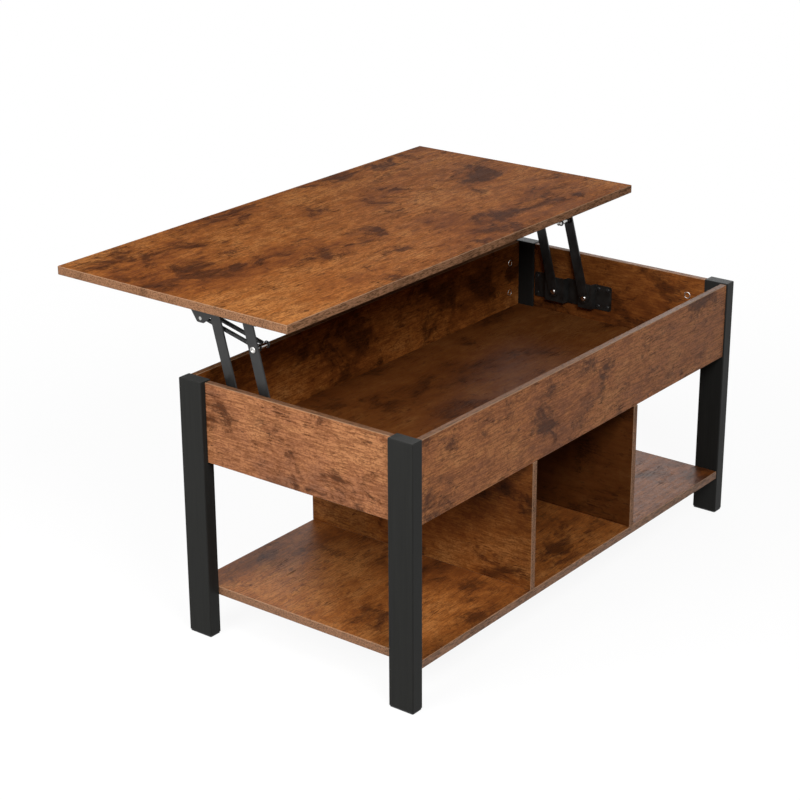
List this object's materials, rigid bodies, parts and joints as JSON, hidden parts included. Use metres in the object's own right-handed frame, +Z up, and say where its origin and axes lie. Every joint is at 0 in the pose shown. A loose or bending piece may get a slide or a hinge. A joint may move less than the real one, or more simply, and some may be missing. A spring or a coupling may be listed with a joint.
{
  "type": "lift-top coffee table",
  "caption": "Lift-top coffee table whose top swings up and forward on parallel steel arms to dining height, over a storage box and an open divided shelf.",
  "frame": {"origin": "on the floor, midway between the four feet", "axes": "+X along the table's length, +Y the way the top swings out when raised, +Z up"},
  "size_m": [1, 0.7317, 0.601],
  "materials": {
    "rustic_board": "satin",
    "black_post": "satin",
    "pad_plastic": "matte",
    "coated_steel": "satin",
    "spring_steel": "satin",
    "bright_steel": "polished"
  },
  "bodies": {
    "base": {"left_front_leg": "black_post", "left_back_leg": "black_post", "right_front_leg": "black_post", "right_back_leg": "black_post", "foot_pads": "pad_plastic", "front_panel": "rustic_board", "back_panel": "rustic_board", "left_end_panel": "rustic_board", "right_end_panel": "rustic_board", "box_floor": "rustic_board", "lower_shelf": "rustic_board", "left_divider": "rustic_board", "right_divider": "rustic_board", "left_base_bracket": "coated_steel", "right_base_bracket": "coated_steel", "base_pivot_rivets": "bright_steel"},
    "rear_arms": {"left_rear_arm": "coated_steel", "right_rear_arm": "coated_steel", "arm_spring_pins": "bright_steel"},
    "front_arms": {"left_front_arm": "coated_steel", "right_front_arm": "coated_steel"},
    "lift_top": {"tabletop": "rustic_board", "left_top_rail": "coated_steel", "right_top_rail": "coated_steel", "top_pivot_rivets": "bright_steel", "lug_spring_pins": "bright_steel", "lift_springs": "spring_steel"}
  },
  "joints": [
    {"name": "lift", "type": "hinge", "parent": "base", "child": "rear_arms", "pos_m": [0, 0.064, 0.375], "axis": [1, 0, 0], "range_deg": [0, 84.78], "deforming": ["lift_springs"]},
    {"name": "top_level", "type": "hinge", "parent": "rear_arms", "child": "lift_top", "pos_m": [0, 0.1168, 0.57205], "axis": [1, 0, 0], "range_deg": [-84.78, 0]},
    {"name": "front_arm_swing", "type": "hinge", "parent": "base", "child": "front_arms", "pos_m": [0, 0.134, 0.375], "axis": [1, 0, 0], "range_deg": [0, 84.78]}
  ],
  "couplings": [
    {"joint": "top_level", "follows": "lift", "ratio": -1},
    {"joint": "front_arm_swing", "follows": "lift", "ratio": 1}
  ]
}
